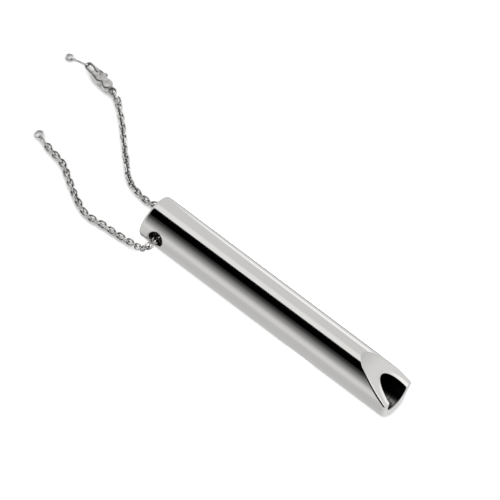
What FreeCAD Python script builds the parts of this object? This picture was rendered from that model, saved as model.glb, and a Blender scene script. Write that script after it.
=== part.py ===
"""Training whistle on a fine cable chain, modelled as an assembly in millimetres.

Frame: +X runs along the whistle from its cord end to its mouth, +Y points to the side
on which the clasp end of the chain lies, +Z is up.  The origin is on the surface that
the whistle lies on, midway along it.

The whistle itself is drawn in its own frame: X along its axis from the cord end, +Z
towards the slanted cut.  One placement then rolls it a little and lays it down.
"""
import FreeCAD, Part
import math
import os
import re
import sys

import Sketcher
from FreeCAD import Placement, Rotation, Vector

X_AXIS = Vector(1, 0, 0)
Y_AXIS = Vector(0, 1, 0)
Z_AXIS = Vector(0, 0, 1)

# Driving dimensions, in millimetres and degrees.
DIMENSIONS = [
    ("whistle_length", 66.0),
    ("tube_diameter", 10.2),
    ("bore_diameter", 6.3),
    ("fit_gap", 0.02),
    ("roll_angle", 20.0),
    # slanted cut at the mouth: an arc seen from the side
    ("slant_run", 12.0),
    ("slant_rise", 0.29),
    ("slant_past", 1.2),
    ("slant_end_height", 0.344),
    ("slant_radius", 55.0),
    ("cut_clearance", 3.0),
    ("rim_width", 0.9),
    ("rim_depth", 0.2),
    ("slant_round", 0.55),
    ("mouth_round", 0.5),
    ("mouth_bore_round", 0.3),
    ("cord_end_round", 0.8),
    # cross hole for the chain
    ("cross_hole_diameter", 3.5),
    ("cross_hole_position", 4.4),
    ("cross_hole_round", 0.3),
    # sound window and its ramp, on the side away from the slanted cut
    ("window_edge", 43.4),
    ("window_length", 2.6),
    ("window_width", 4.2),
    ("labium_height", 0.15),
    ("ramp_length", 4.5),
    # pieces inside the tube
    ("block_length", 8.0),
    ("windway_height", 0.9),
    ("windway_mouth_chamfer", 0.4),
    ("tuning_plug_position", 19.0),
    ("tuning_plug_length", 5.0),
    ("seal_thickness", 0.96),
    ("seal_groove_depth", 1.0),
    ("seal_groove_width", 1.2),
    ("end_plug_length", 9.0),
    ("plug_chamfer", 0.4),
    # chain, its end links and its rings
    ("chain_diameter", 1.8),
    ("link_wire", 0.45),
    ("link_length", 2.3),
    ("link_width", 1.8),
    ("ring_wire", 0.45),
    ("ring_diameter", 2.4),
    ("wire_gap", 0.16),
    ("catch_ring_wire", 0.3),
    ("catch_ring_length", 4.8),
    ("catch_ring_width", 2.3),
    ("catch_ring_gap", 0.22),
    # clasp
    ("clasp_thickness", 2.3),
    ("hook_thickness", 0.8),
    ("hook_width", 1.9),
    ("eye_diameter", 1.7),
    ("eye_hole", 1.1),
    ("eye_thickness", 0.7),
    ("eye_slack", 0.03),
    ("housing_start", 0.65),
    ("housing_end", 6.0),
    ("neck_width", 1.0),
    ("eye_shoulder", 1.4),
    ("eye_shoulder_end", 2.2),
    ("eye_shoulder_width", 2.4),
    ("waist", 3.0),
    ("waist_width", 1.5),
    ("shoulder", 3.8),
    ("clasp_width", 2.7),
    ("housing_end_width", 2.2),
    ("hook_near", 6.6),
    ("hook_far", 7.85),
    ("hook_opening", 0.9),
    ("gate_start", 5.2),
    ("gate_end", 7.5),
    ("lever_slot", 0.9),
    ("slot_start", 3.45),
    ("slot_top", 0.35),
    ("pivot_x", 4.55),
    ("pivot_y", -0.45),
    ("pin_diameter", 0.6),
    ("pin_clearance", 0.04),
    ("lever_thickness", 0.8),
    ("lever_boss", 1.2),
    ("boss_thickness", 0.4),
    ("lever_tip", 7.3),
    ("arm_root", 0.45),
    ("arm_heel", 0.7),
    ("arm_rise", 0.38),
    ("arm_drop", 0.75),
    ("arm_clearance", 0.03),
    ("lug_back", 0.95),
    ("lug_flat", 0.4),
    ("lug_chamfer", 0.1),
    ("lug_height", 0.5),
    ("lug_step", 0.15),
    ("lug_base", 0.2),
    ("spring_wire", 0.12),
    ("spring_diameter", 0.86),
    ("spring_pitch", 0.15),
    ("spring_turns", 1.75),
    ("clasp_round", 0.24),
]

# The chain's two strands, from inside the cross hole to their ends.  Points are given
# from the cord end's plane (X), the whistle's axis (Y) and the surface (Z).
HOLE_START = (4.4, 0.0, 4.85)
FIRST_STEP = 2.9
NEAR_ROUTE = [
    (4.30, -6.65, 6.50),
    (2.60, -7.00, 2.90),
    (-0.90, -6.60, 0.90),
    (-4.60, -7.00, 0.90),
    (-8.60, -7.15, 0.90),
    (-12.30, -7.75, 0.90),
    (-16.20, -6.00, 0.90),
    (-19.80, -3.90, 0.90),
    (-23.60, -1.30, 0.90),
    (-27.30, -0.95, 0.90),
    (-29.60, -0.25, 0.90),
]
FAR_ROUTE = [
    (4.30, 5.75, 2.40),
    (0.40, 4.85, 0.90),
    (-2.90, 2.85, 0.90),
    (-6.30, 3.10, 0.90),
    (-10.10, 4.10, 0.90),
    (-13.10, 7.05, 0.90),
    (-15.60, 9.40, 0.90),
    (-18.45, 12.35, 0.90),
    (-21.00, 14.75, 0.90),
    (-22.90, 16.30, 0.90),
]
# Directions, in degrees about +Z, in which the pieces at the chain's ends point.
FAR_LINK_HEADING = 143.0
CLASP_RING_HEADING = 158.0
CLASP_HEADING = 169.5
CATCH_RING_HEADING = 192.0
TAIL_LINK_HEADING = 188.0
NEAR_LINK_HEADING = 163.0
END_RING_HEADING = 140.0
LEAN = 17.0
ARCS_PER_TURN = 8

doc = FreeCAD.newDocument("TrainingWhistle")
sheet = doc.addObject("Spreadsheet::Sheet", "Dims")
sheet.Label = "dimensions"
for row, (alias, number) in enumerate(DIMENSIONS, start=1):
    sheet.set("A%d" % row, alias)
    sheet.set("B%d" % row, "%g" % number)
    sheet.setAlias("B%d" % row, alias)
doc.recompute()


NAMES = re.compile(r"\b(%s)\b" % "|".join(alias for alias, _ in DIMENSIONS))


def formula(text):
    """A formula on the sheet's names, as an expression of another object."""
    return NAMES.sub(r"Dims.\1", text)


def value(text):
    """The number that a formula on the sheet's names gives."""
    result = sheet.evalExpression(text)
    return float(getattr(result, "Value", result))


# ---------------------------------------------------------------- building blocks

def new_body(label):
    body = doc.addObject("PartDesign::Body", label)
    body.Label = label
    return body


def plane_of(body, role):
    return next(item for item in body.Origin.OriginFeatures if item.Role == role)


def new_sketch(body, role, name, offset="0"):
    """A sketch on one of the body's origin planes, moved along its normal."""
    sketch = body.newObject("Sketcher::SketchObject", name)
    sketch.AttachmentSupport = [(plane_of(body, role), "")]
    sketch.MapMode = "FlatFace"
    sketch.AttachmentOffset = Placement(Vector(0, 0, value(offset)), Rotation())
    if offset != "0":
        sketch.setExpression("AttachmentOffset.Base.z", formula(offset))
    return sketch


def fix(sketch, kind, places, text):
    """A dimensional constraint that follows a formula."""
    index = sketch.addConstraint(Sketcher.Constraint(kind, *places, value(text)))
    name = "c%d" % index
    sketch.renameConstraint(index, name)
    sketch.setExpression("Constraints." + name, formula(text))


def fix_point(sketch, geometry, point, x_text, y_text):
    fix(sketch, "DistanceX", (geometry, point), x_text)
    fix(sketch, "DistanceY", (geometry, point), y_text)


def draw_circle(sketch, diameter, x_text="0", y_text="0"):
    centre = Vector(value(x_text), value(y_text), 0)
    index = sketch.addGeometry(Part.Circle(centre, Z_AXIS, value(diameter) / 2))
    fix(sketch, "Diameter", (index,), diameter)
    if x_text == "0" and y_text == "0":
        sketch.addConstraint(Sketcher.Constraint("Coincident", index, 3, -1, 1))
    else:
        fix_point(sketch, index, 3, x_text, y_text)


def counterclockwise_arc(first, middle, last):
    """The arc through three points, turning the way that a sketch wants."""
    circle = Part.Circle(first, middle, last)
    centre = circle.Center
    if ((middle - first).cross(last - middle)).z < 0:
        first, last = last, first
    begin = math.atan2(first.y - centre.y, first.x - centre.x)
    finish = math.atan2(last.y - centre.y, last.x - centre.x)
    if finish <= begin:
        finish += 2 * math.pi
    return Part.ArcOfCircle(Part.Circle(centre, Z_AXIS, circle.Radius), begin, finish)


def draw_outline(sketch, corners, arcs=()):
    """A closed outline through corners given as formulas.

    arcs maps the number of an edge to (a point on it, its centre's X or None, its
    radius) where that edge is an arc: a half circle is held by its centre.
    """
    points = [Vector(value(x_text), value(y_text), 0) for x_text, y_text in corners]
    arcs = dict(arcs)
    edges = []
    for number, start in enumerate(points):
        end = points[(number + 1) % len(points)]
        if number in arcs:
            middle = Vector(*arcs[number][0], 0)
            edges.append(sketch.addGeometry(counterclockwise_arc(start, middle, end)))
        else:
            edges.append(sketch.addGeometry(Part.LineSegment(start, end)))
    ends = []
    for number, edge in enumerate(edges):
        shape = sketch.Geometry[edge]
        first_is_start = (shape.StartPoint - points[number]).Length < 1e-6
        ends.append((1, 2) if first_is_start else (2, 1))
    for number, edge in enumerate(edges):
        following = (number + 1) % len(edges)
        sketch.addConstraint(Sketcher.Constraint(
            "Coincident", edge, ends[number][1], edges[following], ends[following][0]))
        fix_point(sketch, edge, ends[number][0], *corners[number])
        if number in arcs and arcs[number][1]:
            fix(sketch, "DistanceX", (edge, 3), arcs[number][1])
        elif number in arcs:
            fix(sketch, "Radius", (edge,), arcs[number][2])


def settle(body, feature):
    """Recompute, and stop if the feature failed."""
    doc.recompute()
    if feature.State != ["Up-to-date"]:
        sys.exit("%s in %s failed: %s" % (feature.Name, body.Label, feature.State))
    return feature


def pad(body, sketch, length, symmetric=False, name="Pad"):
    feature = body.newObject("PartDesign::Pad", name)
    feature.Profile = sketch
    feature.setExpression("Length", formula(length))
    feature.Length = value(length)
    feature.Midplane = symmetric
    return settle(body, feature)


def pocket(body, sketch, length, symmetric=False, reverse=False, name="Pocket"):
    """A pocket that has to remove material."""
    before = body.Shape.Volume
    feature = body.newObject("PartDesign::Pocket", name)
    feature.Profile = sketch
    feature.setExpression("Length", formula(length))
    feature.Length = value(length)
    feature.Midplane = symmetric
    feature.Reversed = reverse
    settle(body, feature)
    if body.Shape.Volume > before - 1e-4:
        sys.exit("%s in %s cuts nothing" % (name, body.Label))
    return feature


def round_edges(body, edges, radius, name="Fillet", kind="PartDesign::Fillet"):
    """Round (or chamfer) those edges of the body's last feature."""
    base = body.Tip
    feature = body.newObject(kind, name)
    feature.Base = (base, ["Edge%d" % number for number in edges])
    size = "Radius" if kind.endswith("Fillet") else "Size"
    setattr(feature, size, value(radius))
    feature.setExpression(size, formula(radius))
    return settle(body, feature)


def bevel_edges(body, edges, first, second, flip, name):
    """A chamfer with a different width on each of the two faces."""
    base = body.Tip
    feature = body.newObject("PartDesign::Chamfer", name)
    feature.Base = (base, ["Edge%d" % number for number in edges])
    feature.ChamferType = "Two distances"
    feature.FlipDirection = flip
    for size, text in (("Size", first), ("Size2", second)):
        setattr(feature, size, value(text))
        feature.setExpression(size, formula(text))
    return settle(body, feature)


def edges_where(body, test):
    return [number for number, edge in enumerate(body.Tip.Shape.Edges, start=1)
            if test(edge)]


def place(item, base, rotation=None):
    item.Placement = Placement(base, rotation or Rotation())


def lay_in_whistle(item, start="0"):
    """Place a piece of the whistle that starts this far along its axis."""
    roll = Rotation(X_AXIS, -value("roll_angle"))
    place(item, Vector(0, 0, 0), roll)
    item.setExpression("Placement.Base.x", formula("%s - whistle_length / 2" % start))
    item.setExpression("Placement.Base.z", formula("tube_diameter / 2"))


def heading(angle):
    return Vector(math.cos(math.radians(angle)), math.sin(math.radians(angle)), 0)


# ---------------------------------------------------------------- the whistle

def make_whistle_body():
    """The tube: slanted mouth, cross hole at the cord end, sound window below."""
    body = new_body("whistle_body")
    section = new_sketch(body, "YZ_Plane", "TubeSection")
    draw_circle(section, "tube_diameter")
    draw_circle(section, "bore_diameter")
    pad(body, section, "whistle_length", name="Tube")

    slant = new_sketch(body, "XZ_Plane", "SlantProfile")
    start = ("whistle_length - slant_run", "tube_diameter / 2 + slant_rise")
    end = ("whistle_length + slant_past", "slant_end_height")
    first = Vector(value(start[0]), value(start[1]), 0)
    last = Vector(value(end[0]), value(end[1]), 0)
    half = (last - first) * 0.5
    outward = Vector(-half.y, half.x, 0).normalize()
    radius = value("slant_radius")
    bulge = radius - math.sqrt(radius ** 2 - half.Length ** 2)
    crest = first + half + outward * bulge
    draw_outline(slant, [
        start,
        end,
        ("whistle_length + slant_past", "tube_diameter / 2 + cut_clearance"),
        ("whistle_length - slant_run", "tube_diameter / 2 + cut_clearance"),
    ], arcs={0: ((crest.x, crest.y), None, "slant_radius")})
    pocket(body, slant, "tube_diameter * 2", symmetric=True, name="SlantedMouth")

    cross = new_sketch(body, "XZ_Plane", "CrossHoleSection")
    draw_circle(cross, "cross_hole_diameter", "cross_hole_position", "0")
    pocket(body, cross, "tube_diameter * 2", symmetric=True, name="CrossHole")

    window = new_sketch(body, "XY_Plane", "WindowOutline")
    draw_outline(window, [
        ("window_edge", "-window_width / 2"),
        ("window_edge + window_length", "-window_width / 2"),
        ("window_edge + window_length", "window_width / 2"),
        ("window_edge", "window_width / 2"),
    ])
    pocket(body, window, "tube_diameter", name="Window")

    ramp = new_sketch(body, "XZ_Plane", "RampProfile")
    draw_outline(ramp, [
        ("window_edge", "-bore_diameter / 2 - labium_height"),
        ("window_edge - ramp_length", "-tube_diameter / 2"),
        ("window_edge - ramp_length", "-tube_diameter / 2 - cut_clearance"),
        ("window_edge", "-tube_diameter / 2 - cut_clearance"),
    ])
    pocket(body, ramp, "window_width", symmetric=True, name="Ramp")

    outer = value("tube_diameter / 2")
    inner = value("bore_diameter / 2")
    length = value("whistle_length")
    hole_at = value("cross_hole_position")

    def at_cord_end(edge):
        box = edge.BoundBox
        return box.XMax < 1e-4 and abs(box.YMax - outer) < 1e-3

    def on_hole_rim(edge):
        box = edge.BoundBox
        near_hole = abs(box.Center.x - hole_at) < 0.2 and 0.5 < box.XLength < 4
        point = edge.valueAt(edge.FirstParameter)
        return near_hole and math.hypot(point.y, point.z) > outer - 1e-3

    def middle_radius(edge):
        point = edge.valueAt((edge.FirstParameter + edge.LastParameter) / 2)
        return math.hypot(point.y, point.z)

    def round_mouth(edge):
        return edge.BoundBox.XMin > length - 1e-4 and middle_radius(edge) > outer - 1e-3

    def round_bore_end(edge):
        return edge.BoundBox.XMin > length - 1e-4 and middle_radius(edge) < inner + 1e-3

    def on_slant(edge):
        box = edge.BoundBox
        return box.XMin > length - value("slant_run") and box.XLength > 2

    def on_rim(edge):
        return on_slant(edge) and middle_radius(edge) < inner + 1e-3

    def on_outline(edge):
        return on_slant(edge) and middle_radius(edge) > outer - 1e-3

    round_edges(body, edges_where(body, at_cord_end), "cord_end_round", "CordEndRound")
    round_edges(body, edges_where(body, on_hole_rim), "cross_hole_round", "HoleRound")
    round_edges(body, edges_where(body, on_outline), "slant_round", "SlantRound")
    bevel_edges(body, edges_where(body, on_rim), "rim_width", "rim_depth", False, "MouthRim")
    round_edges(body, edges_where(body, round_mouth), "mouth_round", "MouthRound")
    round_edges(body, edges_where(body, round_bore_end), "mouth_bore_round", "BoreRound")
    lay_in_whistle(body)
    return body


def make_windway_block():
    """The fipple: a plug with a flat that leaves the windway open below it."""
    body = new_body("windway_block")
    section = new_sketch(body, "YZ_Plane", "BlockSection")
    draw_circle(section, "bore_diameter - 2 * fit_gap")
    pad(body, section, "block_length", name="Block")
    flat = new_sketch(body, "XZ_Plane", "WindwayProfile")
    roof = "-bore_diameter / 2 + windway_height"
    draw_outline(flat, [
        ("-cut_clearance", roof),
        ("block_length - windway_mouth_chamfer", roof),
        ("block_length + windway_mouth_chamfer", roof + " + 2 * windway_mouth_chamfer"),
        ("block_length + windway_mouth_chamfer", "-bore_diameter"),
        ("-cut_clearance", "-bore_diameter"),
    ])
    pocket(body, flat, "tube_diameter", symmetric=True, name="Windway")
    lay_in_whistle(body, "window_edge + window_length")
    return body


def make_tuning_plug():
    """The plug that ends the sounding chamber, with a groove for its seal."""
    body = new_body("tuning_plug")
    section = new_sketch(body, "YZ_Plane", "PlugSection")
    draw_circle(section, "bore_diameter - 2 * fit_gap")
    pad(body, section, "tuning_plug_length", name="Plug")
    groove = new_sketch(body, "YZ_Plane", "GrooveSection",
                        "(tuning_plug_length - seal_groove_width) / 2")
    draw_circle(groove, "bore_diameter + fit_gap")
    draw_circle(groove, "bore_diameter - 2 * fit_gap - 2 * seal_groove_depth")
    pocket(body, groove, "seal_groove_width", reverse=True, name="SealGroove")
    rims = edges_where(body, lambda edge: edge.BoundBox.XLength < 1e-6 and (
        edge.BoundBox.XMin < 1e-6
        or edge.BoundBox.XMax > value("tuning_plug_length") - 1e-6))
    round_edges(body, rims, "plug_chamfer", "Chamfer", "PartDesign::Chamfer")
    lay_in_whistle(body, "tuning_plug_position")
    return body


def make_tuning_seal():
    """The rubber ring in the tuning plug's groove."""
    seal = doc.addObject("Part::Torus", "tuning_seal")
    seal.Label = "tuning_seal"
    seal.setExpression("Radius2", formula("seal_thickness / 2"))
    seal.setExpression("Radius1", formula(
        "bore_diameter / 2 - fit_gap - seal_thickness / 2"))
    roll = Rotation(X_AXIS, -value("roll_angle"))
    place(seal, Vector(0, 0, 0), roll.multiply(Rotation(Y_AXIS, 90)))
    seal.setExpression("Placement.Base.x", formula(
        "tuning_plug_position + tuning_plug_length / 2 - whistle_length / 2"))
    seal.setExpression("Placement.Base.z", formula("tube_diameter / 2"))
    return seal


def make_cord_end_plug():
    """The plug flush with the cord end, drilled through with the tube."""
    body = new_body("cord_end_plug")
    section = new_sketch(body, "YZ_Plane", "EndPlugSection")
    draw_circle(section, "bore_diameter - 2 * fit_gap")
    pad(body, section, "end_plug_length", name="EndPlug")
    inner_rim = edges_where(body, lambda edge: edge.BoundBox.XMin
                            > value("end_plug_length") - 1e-6)
    round_edges(body, inner_rim, "plug_chamfer", "Chamfer", "PartDesign::Chamfer")
    cross = new_sketch(body, "XZ_Plane", "CrossHoleSection")
    draw_circle(cross, "cross_hole_diameter", "cross_hole_position", "0")
    pocket(body, cross, "tube_diameter", symmetric=True, name="CrossHole")
    lay_in_whistle(body)
    return body


# ---------------------------------------------------------------- the chain

def strand_points(route, side):
    """A strand's points: from the hole's middle, a step along it, then its route."""
    shift = Vector(-value("whistle_length") / 2, 0, 0)
    start = Vector(*HOLE_START)
    roll = math.radians(value("roll_angle"))
    outward = Vector(0, side * math.cos(roll), -side * math.sin(roll))
    points = [start, start + outward * FIRST_STEP]
    points += [Vector(*point) for point in route]
    return [point + shift for point in points]


def strand_path(points):
    """Straight runs joined by tangent arcs, as large as the runs allow."""
    edges = []
    radii = []
    here = points[0]
    for before, corner, after in zip(points, points[1:], points[2:]):
        incoming = (corner - before)
        outgoing = (after - corner)
        shorter = min(incoming.Length, outgoing.Length)
        turn = incoming.getAngle(outgoing)
        tangent = 0.45 * shorter
        radii.append(tangent / math.tan(turn / 2))
        arrive = corner - incoming.normalize() * tangent
        leave = corner + outgoing.normalize() * tangent
        to_centre = ((arrive - corner) + (leave - corner)).normalize()
        distance = radii[-1] / math.cos(turn / 2)
        middle = corner + to_centre * (distance - radii[-1])
        edges.append(Part.LineSegment(here, arrive).toShape())
        edges.append(Part.Arc(arrive, middle, leave).toShape())
        here = leave
    edges.append(Part.LineSegment(here, points[-1]).toShape())
    return Part.Wire(edges), radii


def make_strand(label, points):
    """One strand of the chain, as a plain tube of the links' outer width."""
    path, radii = strand_path(points)
    radius = value("chain_diameter / 2")
    section = Part.Wire(Part.Circle(points[0], points[1] - points[0], radius).toShape())
    shape = path.makePipeShell([section], True, False, 2)
    strand = doc.addObject("Part::Feature", label)
    strand.Label = label
    strand.Shape = shape
    place(strand, Vector(0, 0, 0))
    expected = math.pi * radius ** 2 * path.Length
    print("%s: length %.2f mm, volume %.2f of %.2f mm3, radii %s" % (
        label, path.Length, shape.Volume, expected,
        " ".join("%.1f" % number for number in radii)))
    if abs(shape.Volume / expected - 1) > 0.01:
        sys.exit(label + " has the wrong volume")
    return strand


def make_link(label, length="link_length", width="link_width", wire="link_wire"):
    """An oval wire link in its own XY plane, long along X."""
    body = new_body(label)
    spine = new_sketch(body, "XY_Plane", "Centreline")
    straight = "(%s - %s) / 2" % (length, width)
    bend = "(%s - %s) / 2" % (width, wire)
    reach = value(straight)
    radius = value(bend)
    top = spine.addGeometry(Part.LineSegment(
        Vector(-reach, radius, 0), Vector(reach, radius, 0)))
    right = spine.addGeometry(counterclockwise_arc(
        Vector(reach, -radius, 0), Vector(reach + radius, 0, 0), Vector(reach, radius, 0)))
    bottom = spine.addGeometry(Part.LineSegment(
        Vector(reach, -radius, 0), Vector(-reach, -radius, 0)))
    left = spine.addGeometry(counterclockwise_arc(
        Vector(-reach, radius, 0), Vector(-reach - radius, 0, 0),
        Vector(-reach, -radius, 0)))
    for first, first_end, second, second_end in (
            (top, 2, right, 2), (right, 1, bottom, 1), (bottom, 2, left, 2), (left, 1, top, 1)):
        spine.addConstraint(Sketcher.Constraint(
            "Coincident", first, first_end, second, second_end))
    fix_point(spine, top, 1, "-(%s)" % straight, bend)
    fix_point(spine, top, 2, straight, bend)
    fix_point(spine, bottom, 1, straight, "-(%s)" % bend)
    fix_point(spine, bottom, 2, "-(%s)" % straight, "-(%s)" % bend)
    fix(spine, "DistanceX", (right, 3), straight)
    fix(spine, "DistanceX", (left, 3), "-(%s)" % straight)
    section = new_sketch(body, "YZ_Plane", "WireSection")
    draw_circle(section, wire, bend, "0")
    doc.recompute()
    pipe = body.newObject("PartDesign::AdditivePipe", "Wire")
    pipe.Profile = section
    pipe.Spine = (spine, [])
    doc.recompute()
    return body


def make_ring(label):
    """A closed jump ring in its own XY plane."""
    ring = doc.addObject("Part::Torus", label)
    ring.Label = label
    ring.setExpression("Radius1", formula("(ring_diameter - ring_wire) / 2"))
    ring.setExpression("Radius2", formula("ring_wire / 2"))
    return ring


# ---------------------------------------------------------------- the clasp

def soften(body, height, name):
    """Round the edges that lie this far above and below the body's middle plane."""
    def lies_there(edge):
        box = edge.BoundBox
        level = abs(edge.valueAt(edge.FirstParameter).z)
        crosses = box.XLength < 1e-6 and abs(box.XMax - value("housing_end")) < 1e-6
        return box.ZLength < 1e-6 and abs(level - value(height)) < 1e-6 and not crosses

    round_edges(body, edges_where(body, lies_there), "clasp_round", name)


def make_clasp_body():
    """Eye, waisted housing and hook, drawn flat; the lever's slot opens to -Y."""
    body = new_body("clasp_body")
    housing = new_sketch(body, "XY_Plane", "HousingOutline")
    side = [
        ("housing_start", "neck_width / 2"),
        ("eye_shoulder", "eye_shoulder_width / 2"),
        ("eye_shoulder_end", "eye_shoulder_width / 2"),
        ("waist", "waist_width / 2"),
        ("shoulder", "clasp_width / 2"),
        ("housing_end", "housing_end_width / 2"),
    ]
    draw_outline(housing, [(x, "-" + y) for x, y in side] + side[::-1])
    pad(body, housing, "clasp_thickness", symmetric=True, name="Housing")
    soften(body, "clasp_thickness / 2", "HousingRound")
    hook = new_sketch(body, "XY_Plane", "HookOutline")
    half = "hook_width / 2"
    draw_outline(hook, [
        ("housing_end", "-" + half),
        ("hook_far", "-" + half),
        ("hook_far", half),
        ("housing_end", half),
    ], arcs={1: ((value("hook_far + " + half), 0), "hook_far", half)})
    pad(body, hook, "hook_thickness", symmetric=True, name="Hook")
    soften(body, "hook_thickness / 2", "HookRound")
    eye = new_sketch(body, "XY_Plane", "EyeOutline")
    draw_circle(eye, "eye_diameter")
    pad(body, eye, "eye_thickness", symmetric=True, name="Eye")
    eye_hole = new_sketch(body, "XY_Plane", "EyeHole")
    draw_circle(eye_hole, "eye_hole")
    pocket(body, eye_hole, "clasp_thickness * 2", symmetric=True, name="EyeBore")

    opening = new_sketch(body, "XY_Plane", "HookOpening")
    gap = "hook_opening / 2"
    draw_outline(opening, [
        ("hook_near", "-" + gap),
        ("hook_far", "-" + gap),
        ("hook_far", gap),
        ("hook_near", gap),
    ], arcs={1: ((value("hook_far + " + gap), 0), "hook_far", gap),
             3: ((value("hook_near - " + gap), 0), "hook_near", gap)})
    pocket(body, opening, "clasp_thickness * 2", symmetric=True, name="Opening")
    gate = new_sketch(body, "XY_Plane", "GateOutline")
    draw_outline(gate, [
        ("gate_start", "-clasp_width"),
        ("gate_end", "-clasp_width"),
        ("gate_end", "0"),
        ("gate_start", "0"),
    ])
    pocket(body, gate, "clasp_thickness * 2", symmetric=True, name="Gate")
    slot = new_sketch(body, "XY_Plane", "SlotOutline")
    draw_outline(slot, [
        ("slot_start", "-clasp_width"),
        ("hook_near", "-clasp_width"),
        ("hook_near", "slot_top"),
        ("slot_start", "slot_top"),
    ])
    pocket(body, slot, "lever_slot", symmetric=True, name="LeverSlot")
    pivot = new_sketch(body, "XY_Plane", "PivotHole")
    draw_circle(pivot, "pin_diameter", "pivot_x", "pivot_y")
    pocket(body, pivot, "clasp_thickness * 2", symmetric=True, name="PivotBore")
    return body


def make_clasp_lever():
    """The sprung gate: boss round the pin, arm to the hook's tip, thumb lug."""
    body = new_body("clasp_lever")
    arm = new_sketch(body, "XY_Plane", "ArmOutline")
    draw_outline(arm, [
        ("pivot_x + arm_heel", "pivot_y - arm_drop"),
        ("lever_tip", "-hook_width / 2 + arm_clearance"),
        ("lever_tip", "-hook_opening / 2 - arm_clearance"),
        ("pivot_x + arm_root", "pivot_y + arm_rise"),
    ])
    pad(body, arm, "lever_thickness", symmetric=True, name="Arm")
    boss = new_sketch(body, "XY_Plane", "BossOutline", "-lever_thickness / 2")
    draw_circle(boss, "lever_boss", "pivot_x", "pivot_y")
    pad(body, boss, "boss_thickness", name="Boss")
    lug = new_sketch(body, "XY_Plane", "LugOutline", "-lever_thickness / 2")
    draw_outline(lug, [
        ("pivot_x - lug_back", "-clasp_width / 2 - lug_step"),
        ("pivot_x - lug_back + lug_chamfer", "-clasp_width / 2 - lug_height"),
        ("pivot_x - lug_back + lug_chamfer + lug_flat", "-clasp_width / 2 - lug_height"),
        ("pivot_x + arm_root", "pivot_y - arm_drop"),
        ("pivot_x + arm_root - lug_chamfer", "pivot_y - lug_base"),
        ("pivot_x - lug_flat", "pivot_y - lug_base"),
    ])
    pad(body, lug, "boss_thickness", name="Lug")
    bore = new_sketch(body, "XY_Plane", "LeverBore")
    draw_circle(bore, "pin_diameter + 2 * pin_clearance", "pivot_x", "pivot_y")
    pocket(body, bore, "clasp_thickness * 2", symmetric=True, name="PivotBore")
    return body


def make_clasp_pin():
    """The pin that the lever turns on, riveted flush at both ends."""
    pin = doc.addObject("Part::Cylinder", "clasp_pin")
    pin.Label = "clasp_pin"
    pin.setExpression("Radius", formula("pin_diameter / 2"))
    pin.setExpression("Height", formula("clasp_thickness"))
    return pin


def make_clasp_spring():
    """The torsion spring coiled round the pin above the lever's boss, as short arcs."""
    radius = value("spring_diameter / 2")
    pitch = value("spring_pitch")
    count = round(ARCS_PER_TURN * value("spring_turns"))

    def on_coil(step):
        angle = 2 * math.pi * step / ARCS_PER_TURN
        return Vector(radius * math.cos(angle), radius * math.sin(angle),
                      pitch * step / ARCS_PER_TURN)

    path = Part.Wire([Part.Arc(on_coil(i), on_coil(i + 0.5), on_coil(i + 1)).toShape()
                      for i in range(count)])
    wire = value("spring_wire / 2")
    tangent = on_coil(0.01) - on_coil(0)
    section = Part.Wire(Part.Circle(on_coil(0), tangent, wire).toShape())
    shape = path.makePipeShell([section], True, False, 2)
    spring = doc.addObject("Part::Feature", "clasp_spring")
    spring.Label = "clasp_spring"
    spring.Shape = shape
    return spring


# ---------------------------------------------------------------- assembly

def flat(angle):
    return Rotation(Z_AXIS, angle)


def upright(angle, tilt=0):
    """A flat piece turned on edge, its length along that heading, and tilted to one side."""
    return Rotation(Z_AXIS, angle).multiply(Rotation(X_AXIS, 90 - tilt))


def leaning(angle):
    """A flat piece whose far end, along that heading, drops to the surface."""
    return Rotation(Z_AXIS, angle).multiply(Rotation(Y_AXIS, LEAN))


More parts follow.
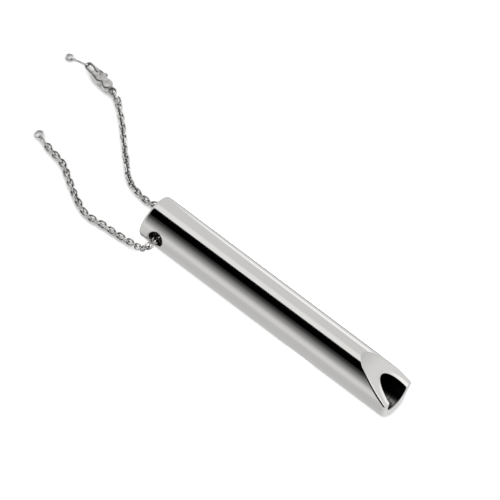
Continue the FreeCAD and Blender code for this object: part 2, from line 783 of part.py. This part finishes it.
def build():
    parts = [
        make_whistle_body(),
        make_windway_block(),
        make_tuning_plug(),
        make_tuning_seal(),
        make_cord_end_plug(),
    ]
    near_points = strand_points(NEAR_ROUTE, -1)
    far_points = strand_points(FAR_ROUTE, 1)
    parts.append(make_strand("chain_near", near_points))
    parts.append(make_strand("chain_far", far_points))

    # How far the rings' and links' wires pass inside one another.
    link_half = value("link_length / 2")
    link_inside = link_half - value("link_wire")
    wire_gap = value("wire_gap")
    ring_radius = value("(ring_diameter - ring_wire) / 2")
    ring_height = value("ring_diameter / 2")
    link_height = value("chain_diameter / 2")
    ring_reach = math.sqrt(ring_radius ** 2 - (ring_height - link_height) ** 2)
    ring_hold = link_inside - value("ring_wire / 2") - wire_gap

    # Clasp end: flat link, upright ring, clasp, oval catch ring, leaning link.
    far_link = make_link("far_end_link")
    link_centre = far_points[-1] + heading(FAR_LINK_HEADING) * link_half
    place(far_link, link_centre, flat(FAR_LINK_HEADING))
    ring_pivot = link_centre + heading(FAR_LINK_HEADING) * ring_hold
    clasp_ring = make_ring("clasp_ring")
    ring_centre = ring_pivot + heading(CLASP_RING_HEADING) * ring_reach
    ring_centre.z = ring_height
    place(clasp_ring, ring_centre, upright(CLASP_RING_HEADING))
    parts += [far_link, clasp_ring]

    clasp_height = value("clasp_thickness / 2")
    eye_reach = math.sqrt(ring_radius ** 2 - (ring_height - clasp_height) ** 2)
    eye_reach -= value("eye_slack")
    eye = ring_centre + heading(CLASP_RING_HEADING) * eye_reach
    eye.z = clasp_height
    clasp_turn = flat(CLASP_HEADING)
    clasp_frame = Placement(eye, clasp_turn)
    clasp_body = make_clasp_body()
    lever = make_clasp_lever()
    pin = make_clasp_pin()
    spring = make_clasp_spring()
    clasp_body.Placement = clasp_frame
    lever.Placement = clasp_frame
    pivot = Vector(value("pivot_x"), value("pivot_y"), 0)
    pin.Placement = clasp_frame.multiply(Placement(pivot - Z_AXIS * clasp_height, Rotation()))
    boss_top = value("boss_thickness - lever_thickness / 2")
    coil_base = pivot + Z_AXIS * (boss_top + value("spring_wire / 2 + fit_gap"))
    spring.Placement = clasp_frame.multiply(Placement(coil_base, Rotation()))
    parts += [clasp_body, lever, pin, spring]

    catch_ring = make_link(
        "catch_ring", "catch_ring_length", "catch_ring_width", "catch_ring_wire")
    catch_wire = value("catch_ring_wire / 2")
    catch_radius = value("catch_ring_width / 2") - catch_wire
    catch_straight = value("(catch_ring_length - catch_ring_width) / 2")
    catch_turn = upright(CATCH_RING_HEADING, LEAN)
    catch_along = catch_turn.multVec(X_AXIS)
    catch_up = catch_turn.multVec(Y_AXIS)
    catch_height = catch_wire + catch_radius * catch_up.z

    def from_catch_centre(height, side):
        """From the ring's centre to its wire at this height, on one side or the other."""
        rise = (height - catch_height) / catch_up.z
        reach = catch_straight + math.sqrt(catch_radius ** 2 - rise ** 2)
        return catch_along * (side * reach) + catch_up * rise

    catch_at = value("hook_far + hook_opening / 2 - catch_ring_gap") - catch_wire
    catch_pivot = clasp_frame.multVec(Vector(catch_at, 0, 0))
    catch_centre = catch_pivot - from_catch_centre(clasp_height, -1)
    place(catch_ring, catch_centre, catch_turn)
    parts.append(catch_ring)

    tail_link = make_link("tail_link")
    lean = math.radians(LEAN)
    tail_height = value("link_wire / 2") + (link_half - value("link_wire / 2")) * math.sin(lean)
    tail_hold = link_inside - catch_wire - wire_gap
    tail_pivot = catch_centre + from_catch_centre(tail_height + tail_hold * math.sin(lean), 1)
    tail_centre = tail_pivot + heading(TAIL_LINK_HEADING) * (tail_hold * math.cos(lean))
    tail_centre.z = tail_height
    place(tail_link, tail_centre, leaning(TAIL_LINK_HEADING))
    parts.append(tail_link)

    # Other end: an upright link with a ring that leans on it.
    near_link = make_link("near_end_link")
    near_centre = near_points[-1] + heading(NEAR_LINK_HEADING) * link_half
    place(near_link, near_centre, upright(NEAR_LINK_HEADING))
    end_ring = make_ring("end_ring")
    end_height = value("ring_wire / 2") + ring_radius * math.sin(lean)
    end_hold = ring_radius - value("(ring_wire + link_wire) / 2") - wire_gap
    end_pivot = near_centre + heading(NEAR_LINK_HEADING) * (
        link_half - value("link_wire / 2"))
    end_centre = end_pivot + heading(END_RING_HEADING) * end_hold * math.cos(lean)
    end_centre.z = end_height
    place(end_ring, end_centre, leaning(END_RING_HEADING))
    parts += [near_link, end_ring]

    for name, point in (("clasp_ring", ring_pivot), ("clasp eye", eye),
                        ("lever", clasp_frame.multVec(pivot)), ("catch_ring", catch_pivot),
                        ("tail_link", tail_pivot), ("end_ring", end_pivot)):
        print("pivot of %s: %.3f %.3f %.3f" % (name, point.x, point.y, point.z))
    return parts


def check(parts):
    doc.recompute()
    for item in doc.Objects:
        if "Invalid" in item.State or "Error" in item.State:
            sys.exit("%s failed: %s" % (item.Label, item.State))
    for part in parts:
        shape = part.Shape
        if shape.isNull() or not shape.isValid() or len(shape.Solids) != 1:
            sys.exit("%s isn't one valid solid" % part.Label)


def write(parts):
    os.makedirs("parts", exist_ok=True)
    for part in parts:
        part.Shape.exportStep(os.path.join("parts", part.Label + ".step"))
        box = part.Shape.BoundBox
        print("%-15s volume %8.3f  x %.2f %.2f  y %.2f %.2f  z %.2f %.2f" % (
            part.Label, part.Shape.Volume, box.XMin, box.XMax, box.YMin, box.YMax,
            box.ZMin, box.ZMax))


PARTS = build()
check(PARTS)
write(PARTS)
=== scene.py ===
"""The training whistle with its chain and hook clasp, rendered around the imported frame.

Everything is in metres in the frame's own axes: the whistle lies along X on the floor at Z 0.
"""

import math
import random

import bmesh
import bpy
from mathutils import Matrix, Vector


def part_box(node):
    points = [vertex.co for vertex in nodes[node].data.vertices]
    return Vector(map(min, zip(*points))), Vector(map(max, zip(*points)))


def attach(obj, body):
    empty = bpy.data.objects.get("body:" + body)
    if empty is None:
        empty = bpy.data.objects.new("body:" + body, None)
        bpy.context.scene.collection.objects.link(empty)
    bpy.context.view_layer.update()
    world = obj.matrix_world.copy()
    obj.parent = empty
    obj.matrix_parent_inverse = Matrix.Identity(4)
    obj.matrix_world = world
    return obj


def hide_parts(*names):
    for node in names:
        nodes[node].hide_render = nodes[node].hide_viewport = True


MM = 0.001

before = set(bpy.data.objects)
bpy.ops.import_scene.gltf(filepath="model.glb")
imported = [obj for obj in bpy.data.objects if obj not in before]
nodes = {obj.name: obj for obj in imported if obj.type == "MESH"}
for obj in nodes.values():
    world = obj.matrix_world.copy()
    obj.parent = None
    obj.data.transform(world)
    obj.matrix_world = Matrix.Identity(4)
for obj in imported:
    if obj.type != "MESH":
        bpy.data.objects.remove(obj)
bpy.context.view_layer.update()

# ---------------------------------------------------------------- camera

VIEW_AZIMUTH = math.radians(39.0)
VIEW_ELEVATION = math.radians(67.5)
VIEW_WIDTH = 105.04 * MM
# How far the view's middle lies from the middle of the tube, in the view's own directions.
AIM_LEFT = 5.17 * MM
AIM_UP = 11.74 * MM
LENS = 500.0
SENSOR = 36.0


def make_camera():
    """A long lens that looks down on the whistle, with the mouth at the lower right."""
    across = Vector((math.cos(VIEW_AZIMUTH), math.sin(VIEW_AZIMUTH), 0.0))
    back = Vector((math.sin(VIEW_AZIMUTH) * math.cos(VIEW_ELEVATION),
                   -math.cos(VIEW_AZIMUTH) * math.cos(VIEW_ELEVATION),
                   math.sin(VIEW_ELEVATION)))
    upward = back.cross(across)
    body_low, body_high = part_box("whistle_body")
    middle = (body_low + body_high) / 2
    aim = middle - across * AIM_LEFT + upward * AIM_UP
    data = bpy.data.cameras.new("camera")
    data.lens = LENS
    data.sensor_width = SENSOR
    data.clip_start = 0.01
    data.clip_end = 20.0
    camera = bpy.data.objects.new("camera", data)
    camera.location = aim + back * (VIEW_WIDTH * LENS / SENSOR)
    camera.rotation_mode = "QUATERNION"
    camera.rotation_quaternion = (-back).to_track_quat("-Z", "Y")
    bpy.context.scene.collection.objects.link(camera)
    bpy.context.scene.camera = camera


make_camera()

# ---------------------------------------------------------------- the chain

# Points of each strand in mm, with X counted from the whistle's cord end. The first point lies
# inside the cross hole, just under its middle, and the second is a step along the hole.
HOLE_START = (4.40, 0.00, 4.85)
NEAR_ROUTE = [
    HOLE_START,
    (4.40, -2.73, 5.84),
    (4.30, -6.65, 6.50),
    (2.60, -7.00, 2.90),
    (-0.90, -6.60, 0.90),
    (-4.60, -7.00, 0.90),
    (-8.60, -7.15, 0.90),
    (-12.30, -7.75, 0.90),
    (-16.20, -6.00, 0.90),
    (-19.80, -3.90, 0.90),
    (-23.60, -1.30, 0.90),
    (-27.30, -0.95, 0.90),
    (-29.60, -0.25, 0.90),
]
FAR_ROUTE = [
    HOLE_START,
    (4.40, 2.73, 3.86),
    (4.30, 5.75, 2.40),
    (0.40, 4.85, 0.90),
    (-2.90, 2.85, 0.90),
    (-6.30, 3.10, 0.90),
    (-10.10, 4.10, 0.90),
    (-13.10, 7.05, 0.90),
    (-15.60, 9.40, 0.90),
    (-18.45, 12.35, 0.90),
    (-21.00, 14.75, 0.90),
    (-22.90, 16.30, 0.90),
]
LINK_LENGTH = 2.25 * MM
LINK_WIDTH = 1.75 * MM
LINK_WIRE = 0.46 * MM
LINK_PITCH = 1.2 * MM
LINK_STEPS = 28
WIRE_STEPS = 10
# How far the last link's centre lies before the end of its strand, so that it hooks the end link.
LAST_LINK_BACK = 0.15 * MM
# How far a link may turn from its even quarter turn, in degrees either way.
LINK_WANDER = 10
ROUTE_STEPS = 16


def route_in_frame(route):
    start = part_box("whistle_body")[0].x
    return [Vector((start + x * MM, y * MM, z * MM)) for x, y, z in route]


def spline_points(points):
    """Points along the smooth line that has the route's points as its control points."""
    data = bpy.data.curves.new("route", "CURVE")
    data.dimensions = "3D"
    data.resolution_u = ROUTE_STEPS
    spline = data.splines.new("NURBS")
    spline.points.add(len(points) - 1)
    for control, point in zip(spline.points, points):
        control.co = (*point, 1.0)
    spline.order_u = 3
    spline.use_endpoint_u = True
    carrier = bpy.data.objects.new("route", data)
    mesh = bpy.data.meshes.new_from_object(carrier)
    line = [v.co.copy() for v in mesh.vertices]
    bpy.data.meshes.remove(mesh)
    bpy.data.objects.remove(carrier)
    bpy.data.curves.remove(data)
    return line


class Line:
    """A polyline that gives the place and direction at a distance along it."""

    def __init__(self, points):
        self.points = points
        self.marks = [0.0]
        for a, b in zip(points, points[1:]):
            self.marks.append(self.marks[-1] + (b - a).length)
        self.length = self.marks[-1]

    def place(self, distance):
        for i in range(1, len(self.marks)):
            if distance <= self.marks[i] or i == len(self.marks) - 1:
                share = (distance - self.marks[i - 1]) / (self.marks[i] - self.marks[i - 1])
                return self.points[i - 1].lerp(self.points[i], share)

    def direction(self, distance, reach):
        ahead = self.place(min(self.length, distance + reach))
        behind = self.place(max(0.0, distance - reach))
        return (ahead - behind).normalized()


def add_link(mesh, centre, along, side, length, width, wire):
    """An oval wire link round its centre, its length in the direction along, its width in side."""
    normal = along.cross(side)
    bend = (width - wire) / 2
    straight = (length - width) / 2
    rings = []
    for i in range(LINK_STEPS):
        angle = 2 * math.pi * i / LINK_STEPS
        outward = along * math.cos(angle) + side * math.sin(angle)
        shift = straight if math.cos(angle) > 0 else -straight
        middle = centre + along * shift + outward * bend
        ring = []
        for j in range(WIRE_STEPS):
            turn = 2 * math.pi * j / WIRE_STEPS
            offset = outward * math.cos(turn) + normal * math.sin(turn)
            ring.append(mesh.verts.new(middle + offset * (wire / 2)))
        rings.append(ring)
    for i in range(LINK_STEPS):
        here, after = rings[i], rings[(i + 1) % LINK_STEPS]
        for j in range(WIRE_STEPS):
            k = (j + 1) % WIRE_STEPS
            face = mesh.faces.new((here[j], after[j], after[k], here[k]))
            face.smooth = True


def make_strand(name, route, first_roll, last_roll, seed):
    """One strand as separate wire links, each turned about a right angle from the last.

    Every second link, counted back from the last, is turned about the line by an angle that
    runs from first_roll to last_roll, in degrees from lying flat.
    """
    line = Line(spline_points(route_in_frame(route)))
    span = line.length - LAST_LINK_BACK
    count = round(span / LINK_PITCH + 0.5)
    pitch = span / (count - 0.5)
    wander = random.Random(seed)
    mesh = bmesh.new()
    for i in range(count):
        distance = pitch * (i + 0.5)
        along = line.direction(distance, LINK_LENGTH / 2)
        flat = Vector((0, 0, 1)).cross(along).normalized()
        share = i / (count - 1)
        quarter = 90 * (i % 2 - (count - 1) % 2)
        even = first_roll + (last_roll - first_roll) * share + quarter
        roll = even + wander.uniform(-LINK_WANDER, LINK_WANDER)
        side = Matrix.Rotation(math.radians(roll), 3, along) @ flat
        add_link(mesh, line.place(distance), along, side, LINK_LENGTH, LINK_WIDTH, LINK_WIRE)
    data = bpy.data.meshes.new(name)
    mesh.to_mesh(data)
    mesh.free()
    strand = bpy.data.objects.new(name, data)
    bpy.context.scene.collection.objects.link(strand)
    return strand, line


near_strand, near_line = make_strand("chain_links_near", NEAR_ROUTE, 62, 66, seed=3)
far_strand, far_line = make_strand("chain_links_far", FAR_ROUTE, 80, 20, seed=8)
for strand, node in ((near_strand, "chain_near"), (far_strand, "chain_far")):
    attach(strand, "whistle")
    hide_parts(node)

# ---------------------------------------------------------------- materials


# The Mix node has sockets of the same name for each data type: these are the ones for colours.
MIX_COLOURS = (6, 7)
MIX_RESULT = 2


class Nodes:
    """A short way to write a node tree."""

    def __init__(self, tree):
        self.tree = tree
        tree.nodes.clear()

    def add(self, kind, **settings):
        node = self.tree.nodes.new(kind)
        for name, value in settings.items():
            setattr(node, name, value)
        return node

    def join(self, source, target):
        self.tree.links.new(source, target)

    def math(self, operation, first, second=None):
        node = self.add("ShaderNodeMath", operation=operation)
        for socket, value in zip(node.inputs, (first, second)):
            self.feed(socket, value)
        return node.outputs[0]

    def feed(self, socket, value):
        if isinstance(value, bpy.types.NodeSocket):
            self.join(value, socket)
        elif value is not None:
            socket.default_value = value

    def stretched(self, scale=(1.0, 1.0, 1.0)):
        """Object coordinates, stretched by a scale along each axis."""
        place = self.add("ShaderNodeTexCoord")
        mapping = self.add("ShaderNodeMapping")
        mapping.inputs["Scale"].default_value = scale
        self.join(place.outputs["Object"], mapping.inputs["Vector"])
        return mapping.outputs["Vector"]

    def split(self, coordinates="Object"):
        """The X, Y and Z of one kind of texture coordinate."""
        node = self.add("ShaderNodeSeparateXYZ")
        place = self.add("ShaderNodeTexCoord").outputs[coordinates]
        self.join(place, node.inputs["Vector"])
        return node.outputs

    def off_axis(self, place):
        """The distance from the whistle's own axis."""
        low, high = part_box("whistle_body")
        height = self.math("SUBTRACT", place["Z"], (low.z + high.z) / 2)
        squares = self.math("ADD", self.math("MULTIPLY", place["Y"], place["Y"]),
                            self.math("MULTIPLY", height, height))
        return self.math("SQRT", squares)

    def noise(self, vector, scale, detail=3.0, roughness=0.5):
        node = self.add("ShaderNodeTexNoise")
        node.inputs["Scale"].default_value = scale
        node.inputs["Detail"].default_value = detail
        node.inputs["Roughness"].default_value = roughness
        self.join(vector, node.inputs["Vector"])
        return node.outputs["Fac"]

    def ramp(self, value, stops):
        """Colours at places from 0 to 1, carried evenly from each stop to the next."""
        node = self.add("ShaderNodeValToRGB")
        ramp = node.color_ramp
        while len(ramp.elements) > 1:
            ramp.elements.remove(ramp.elements[-1])
        for i, (place, colour) in enumerate(stops):
            stop = ramp.elements[0] if i == 0 else ramp.elements.new(place)
            stop.position = place
            stop.color = (*colour, 1.0)
        self.feed(node.inputs["Fac"], value)
        return node.outputs["Color"]

    def between(self, value, low, high, steps=(0.0, 1.0)):
        """A value carried from the range steps to the range low to high."""
        node = self.add("ShaderNodeMapRange")
        node.inputs["From Min"].default_value = steps[0]
        node.inputs["From Max"].default_value = steps[1]
        node.inputs["To Min"].default_value = low
        node.inputs["To Max"].default_value = high
        self.join(value, node.inputs["Value"])
        return node.outputs["Result"]

    def mix(self, share, first, second):
        """The first colour at share 0, the second at share 1."""
        node = self.add("ShaderNodeMix", data_type="RGBA")
        self.feed(node.inputs["Factor"], share)
        for index, colour in zip(MIX_COLOURS, (first, second)):
            self.feed(node.inputs[index], colour)
        return node.outputs[MIX_RESULT]

    def openness(self, reach):
        """The share of the view around a point that nothing blocks within this reach."""
        node = self.add("ShaderNodeAmbientOcclusion", samples=16)
        node.inputs["Distance"].default_value = reach
        return node.outputs["AO"]

    def bump(self, height, distance):
        node = self.add("ShaderNodeBump")
        node.inputs["Distance"].default_value = distance
        node.inputs["Strength"].default_value = 1.0
        self.join(height, node.inputs["Height"])
        return node.outputs["Normal"]


def new_material(name, metallic):
    material = bpy.data.materials.new(name)
    material.use_nodes = True
    tree = Nodes(material.node_tree)
    shader = tree.add("ShaderNodeBsdfPrincipled")
    output = tree.add("ShaderNodeOutputMaterial")
    tree.join(shader.outputs["BSDF"], output.inputs["Surface"])
    shader.inputs["Metallic"].default_value = metallic
    return material, tree, shader


# Black painted shade deep in the bore, all but the patch of bare metal near the mouth.
BORE_SHADE = (0.012, 0.012, 0.012, 1.0)
BORE_ROUGH = 0.28
# The patch of bare, rough metal in the bore, by its two fades: the distance from the mouth where
# it is gone and where it is whole, and the Y where it is whole and where it is gone.
PATCH_DEPTH = (5 * MM, 2.5 * MM)
PATCH_SIDE = (-0.8 * MM, 1.2 * MM)


def polished_steel():
    """The tube: mirror-polished steel with faint draw lines along it, rough inside its bore."""
    material, tree, shader = new_material("polished_steel_look", 1.0)
    draw_lines = tree.noise(tree.stretched((12.0, 900.0, 900.0)), 6.0, detail=4.0)
    haze = tree.noise(tree.stretched(), 220.0, detail=2.0)
    place = tree.split()
    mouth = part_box("whistle_body")[1].x
    block_low, block_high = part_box("windway_block")
    bore = (block_high.y - block_low.y) / 2
    in_bore = tree.between(tree.off_axis(place), 1.0, 0.0, (bore + 0.05 * MM, bore + 0.12 * MM))
    turning = tree.noise(tree.stretched((2600.0, 500.0, 500.0)), 1.0, detail=3.0, roughness=0.7)
    tint = tree.between(draw_lines, 0.0, 1.0, (0.3, 0.7))
    outside = tree.ramp(tint, [(0.0, (0.585, 0.578, 0.563)), (1.0, (0.615, 0.610, 0.596))])
    at_mouth = tree.between(place["X"], 0.0, 1.0, tuple(mouth - depth for depth in PATCH_DEPTH))
    near_side = tree.between(place["Y"], 1.0, 0.0, PATCH_SIDE)
    turned = tree.ramp(turning, [(0.35, (0.08, 0.078, 0.075)), (0.65, (0.42, 0.415, 0.40))])
    # Painted shade: the bore goes black but for the patch of turned metal near the mouth.
    inside = tree.mix(tree.math("MULTIPLY", at_mouth, near_side), BORE_SHADE, turned)
    tree.join(tree.mix(in_bore, outside, inside), shader.inputs["Base Color"])
    polish = tree.math("ADD", tree.between(haze, 0.05, 0.08, (0.3, 0.7)),
                       tree.between(draw_lines, 0.0, 0.02, (0.3, 0.7)))
    rough = tree.math("ADD", polish, tree.math("MULTIPLY", in_bore, BORE_ROUGH))
    tree.join(rough, shader.inputs["Roughness"])
    lines = tree.math("MULTIPLY", draw_lines, 0.02)
    grooves = tree.math("MULTIPLY", turning, in_bore)
    tree.join(tree.bump(tree.math("ADD", lines, grooves), 0.03 * MM), shader.inputs["Normal"])
    return material


TURNED_RINGS = 9000.0


def turned_steel():
    """Plugs and the windway block: steel as it leaves the lathe, with fine rings round the axis."""
    material, tree, shader = new_material("turned_steel_look", 1.0)
    place = tree.split()
    ring = tree.add("ShaderNodeCombineXYZ")
    tree.join(tree.math("MULTIPLY", tree.off_axis(place), TURNED_RINGS), ring.inputs["X"])
    tree.join(tree.math("MULTIPLY", place["X"], TURNED_RINGS), ring.inputs["Y"])
    rings = tree.noise(ring.outputs["Vector"], 1.0, detail=2.0)
    colour = tree.ramp(rings, [(0.3, (0.42, 0.415, 0.405)), (0.7, (0.56, 0.555, 0.54))])
    tree.join(colour, shader.inputs["Base Color"])
    tree.join(tree.between(rings, 0.24, 0.36, (0.3, 0.7)), shader.inputs["Roughness"])
    tree.join(tree.bump(rings, 0.01 * MM), shader.inputs["Normal"])
    return material


# A crevice starts where less than the second share of the view within its reach is open, and is
# full of black painted shade below the first.
CREVICE_REACH = 0.7 * MM
CREVICE_OPEN = (0.45, 0.90)
CREVICE_SHADE = (0.02, 0.02, 0.02, 1.0)


def wire_steel(name, light, dark, smooth, edge=0.0):
    """Bright steel, duller where it rubs, black painted shade in crevices, soft edges if asked."""
    material, tree, shader = new_material(name, 1.0)
    patches = tree.noise(tree.stretched(), 900.0, detail=3.0)
    grain = tree.noise(tree.stretched(), 6000.0, detail=2.0)
    clean = tree.ramp(patches, [(0.35, dark), (0.65, light)])
    # Painted shade: the base colour goes black where the view round a point is closed in.
    clear = tree.between(tree.openness(CREVICE_REACH), 0.0, 1.0, CREVICE_OPEN)
    tree.join(tree.mix(clear, CREVICE_SHADE, clean), shader.inputs["Base Color"])
    tree.join(tree.between(patches, smooth + 0.10, smooth, (0.35, 0.65)),
              shader.inputs["Roughness"])
    bump = tree.bump(grain, 0.004 * MM)
    if edge:
        rounded = tree.add("ShaderNodeBevel", samples=8)
        rounded.inputs["Radius"].default_value = edge
        tree.join(rounded.outputs["Normal"], bump.node.inputs["Normal"])
    tree.join(bump, shader.inputs["Normal"])
    return material


def seal_rubber():
    """The O-ring: black rubber with a matt, slightly dusty skin."""
    material, tree, shader = new_material("seal_rubber_look", 0.0)
    skin = tree.noise(tree.stretched(), 3000.0, detail=3.0)
    colour = tree.ramp(skin, [(0.3, (0.010, 0.010, 0.011)), (0.8, (0.030, 0.030, 0.032))])
    tree.join(colour, shader.inputs["Base Color"])
    tree.join(tree.between(skin, 0.55, 0.75), shader.inputs["Roughness"])
    tree.join(tree.bump(skin, 0.01 * MM), shader.inputs["Normal"])
    return material


def finish_nodes():
    """Gives every carried-over node and both strands their materials."""
    chain = wire_steel("chain_steel_look", (0.90, 0.89, 0.87), (0.52, 0.51, 0.50), 0.10)
    clasp = wire_steel("clasp_steel_look", (0.50, 0.495, 0.485), (0.42, 0.415, 0.405), 0.16,
                       edge=0.5 * MM)
    spring = wire_steel("spring_steel_look", (0.52, 0.50, 0.47), (0.36, 0.345, 0.32), 0.22)
    looks = {
        polished_steel(): ["whistle_body"],
        turned_steel(): ["windway_block", "tuning_plug", "cord_end_plug"],
        seal_rubber(): ["tuning_seal"],
        chain: ["near_end_link", "far_end_link", "end_ring", "clasp_ring", "catch_ring",
                "tail_link"],
        clasp: ["clasp_body", "clasp_lever", "clasp_pin"],
        spring: ["clasp_spring"],
    }
    for material, names in looks.items():
        for name in names:
            for slot in nodes[name].material_slots:
                slot.material = material
    for strand in (near_strand, far_strand):
        strand.data.materials.append(chain)


finish_nodes()

# ---------------------------------------------------------------- floor and light

# The studio, as brightness at an angle from straight up, in degrees, positive towards the near
# side: a wall, a softbox over the far side, a black card overhead, and a wall on the near side.
# This is the half that lies towards the cord end.
CORD_SIDE = [
    (-90, 0.95), (-45, 0.95), (-35, 1.2), (-15, 1.25), (-12, 0.0), (20, 0.0), (35, 0.1),
    (55, 0.45), (75, 1.0), (90, 1.0),
]
# The half past the mouth: brighter walls, a wider card and a steeper fade.
MOUTH_SIDE = [
    (-90, 1.5), (-75, 1.0), (-50, 1.1), (-38, 1.5), (-16, 1.5), (-12, 0.0), (35, 0.0),
    (60, 1.0), (90, 1.2),
]
# The direction's X between which the first half turns into the second.
HALVES_MEET = (0.0, 0.30)
# A dim gap where they meet, as a share of the light by the direction's X.
GAP = [(0.0, 1.0), (0.1, 0.6), (0.3, 1.0)]
# Towards both ends of the whistle, by the direction's X, the panels fade into a plain room.
PANEL_END = (0.70, 0.90)
ROOM = (0.9, 0.9, 0.89, 1.0)
# What the camera itself sees behind everything.
BACKDROP = (0.97, 0.97, 0.97, 1.0)
# The ramps hold each level as a share of this one, and the light is multiplied by it.
BRIGHTEST = 1.5


def make_studio():
    world = bpy.data.worlds.new("studio")
    bpy.context.scene.world = world
    world.use_nodes = True
    tree = Nodes(world.node_tree)
    direction = tree.split("Generated")
    near = tree.math("MULTIPLY", direction["Y"], -1.0)
    angle = tree.math("ARCTAN2", near, direction["Z"])
    across = tree.between(angle, 0.0, 1.0, (-math.pi / 2, math.pi / 2))

    def panels(levels):
        stops = [((degrees + 90) / 180, (level / BRIGHTEST,) * 3) for degrees, level in levels]
        return tree.ramp(across, stops)

    past_mouth = tree.between(direction["X"], 0.0, 1.0, HALVES_MEET)
    along = tree.mix(past_mouth, panels(CORD_SIDE), panels(MOUTH_SIDE))
    gap = tree.ramp(direction["X"], [(x, (share,) * 3) for x, share in GAP])
    scaled = tree.add("ShaderNodeVectorMath", operation="SCALE")
    tree.join(along, scaled.inputs[0])
    tree.join(tree.math("MULTIPLY", gap, BRIGHTEST), scaled.inputs["Scale"])
    past_panels = tree.between(tree.math("ABSOLUTE", direction["X"]), 0.0, 1.0, PANEL_END)
    room = tree.mix(past_panels, scaled.outputs["Vector"], ROOM)
    straight = tree.add("ShaderNodeLightPath").outputs["Is Camera Ray"]
    background = tree.add("ShaderNodeBackground")
    output = tree.add("ShaderNodeOutputWorld")
    tree.join(tree.mix(straight, room, BACKDROP), background.inputs["Color"])
    tree.join(background.outputs["Background"], output.inputs["Surface"])


# The paper as polished steel reflects it, by Y in mm: a painted glow, dark with painted shadow
# under the whistle and bright beyond it.
PAPER_SEEN = [
    (-120, 0.9), (-20, 0.8), (-6, 0.8), (-2, 0.3), (10, 0.4), (16, 1.0), (40, 1.5), (120, 1.5),
]
# The same past the whistle's two ends, as a share of BRIGHTEST.
PAPER_PAST_ENDS = (0.62, 0.62, 0.62, 1.0)
FLOOR_HALF = 0.35
# The soft dark line of painted shade where something touches the paper: how far it reaches, and
# the shares of open view between which it fades.
CONTACT_REACH = 1.6 * MM
CONTACT_OPEN = (0.2, 0.95)
CONTACT_SHADE = (0.10, 0.10, 0.10, 1.0)


def paper_reflected(tree):
    """Painted light the paper shows to reflections, which is not what the camera sees of it."""
    place = tree.split()
    reach = PAPER_SEEN[-1][0]
    across = tree.between(place["Y"], 0.0, 1.0, (-reach * MM, reach * MM))
    seen = tree.ramp(across, [((y + reach) / (2 * reach), (level / BRIGHTEST,) * 3)
                              for y, level in PAPER_SEEN])
    low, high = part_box("whistle_body")
    past_cord_end = tree.between(place["X"], 0.0, 1.0, (low.x - 3 * MM, low.x - 1 * MM))
    before_mouth = tree.between(place["X"], 1.0, 0.0, (high.x - 1 * MM, high.x))
    along_whistle = tree.math("MULTIPLY", past_cord_end, before_mouth)
    glow = tree.add("ShaderNodeEmission")
    glow.inputs["Strength"].default_value = BRIGHTEST
    tree.join(tree.mix(along_whistle, PAPER_PAST_ENDS, seen), glow.inputs["Color"])
    return glow.outputs["Emission"]


def white_paper():
    """Plain white paper with a faint fibre and painted shade where something touches it."""
    material, tree, shader = new_material("paper", 0.0)
    fibres = tree.noise(tree.stretched(), 900.0)
    paper = tree.ramp(fibres, [(0.3, (0.88, 0.88, 0.88)), (0.7, (0.90, 0.90, 0.90))])
    # Painted shade: the paper's colour darkens where something closes in the view round it.
    clear = tree.between(tree.openness(CONTACT_REACH), 0.0, 1.0, CONTACT_OPEN)
    tree.join(tree.mix(clear, CONTACT_SHADE, paper), shader.inputs["Base Color"])
    shader.inputs["Roughness"].default_value = 0.85
    shader.inputs["Specular IOR Level"].default_value = 0.2
    # Reflections see the painted glow and painted shadow in place of the lit paper.
    either = tree.add("ShaderNodeMixShader")
    surface = shader.outputs["BSDF"].links[0].to_socket
    tree.join(tree.add("ShaderNodeLightPath").outputs["Is Glossy Ray"], either.inputs["Fac"])
    tree.join(shader.outputs["BSDF"], either.inputs[1])
    tree.join(paper_reflected(tree), either.inputs[2])
    tree.join(either.outputs["Shader"], surface)
    return material


def make_floor():
    """A sheet of white paper under the whistle."""
    mesh = bpy.data.meshes.new("floor")
    corners = [(x * FLOOR_HALF, y * FLOOR_HALF, 0) for x, y in ((-1, -1), (1, -1), (1, 1), (-1, 1))]
    mesh.from_pydata(corners, [], [(0, 1, 2, 3)])
    mesh.materials.append(white_paper())
    floor = bpy.data.objects.new("floor", mesh)
    bpy.context.scene.collection.objects.link(floor)


FILL_PLACE = (0.0, 0.30, 0.40)
FILL_SIZE = (0.9, 0.5)
FILL_WATTS = 6.0


def make_fill():
    """A soft light over the far side that brightens the paper and casts no shadow."""
    data = bpy.data.lights.new("fill", "AREA")
    data.shape = "RECTANGLE"
    data.size, data.size_y = FILL_SIZE
    data.energy = FILL_WATTS
    light = bpy.data.objects.new("fill", data)
    light.location = FILL_PLACE
    light.rotation_mode = "QUATERNION"
    light.rotation_quaternion = (-Vector(light.location)).to_track_quat("-Z", "Y")
    light.visible_glossy = False
    data.use_shadow = False
    bpy.context.scene.collection.objects.link(light)


make_studio()
make_floor()
make_fill()
bpy.context.scene.view_settings.view_transform = "Standard"
bpy.context.scene.view_settings.look = "None"
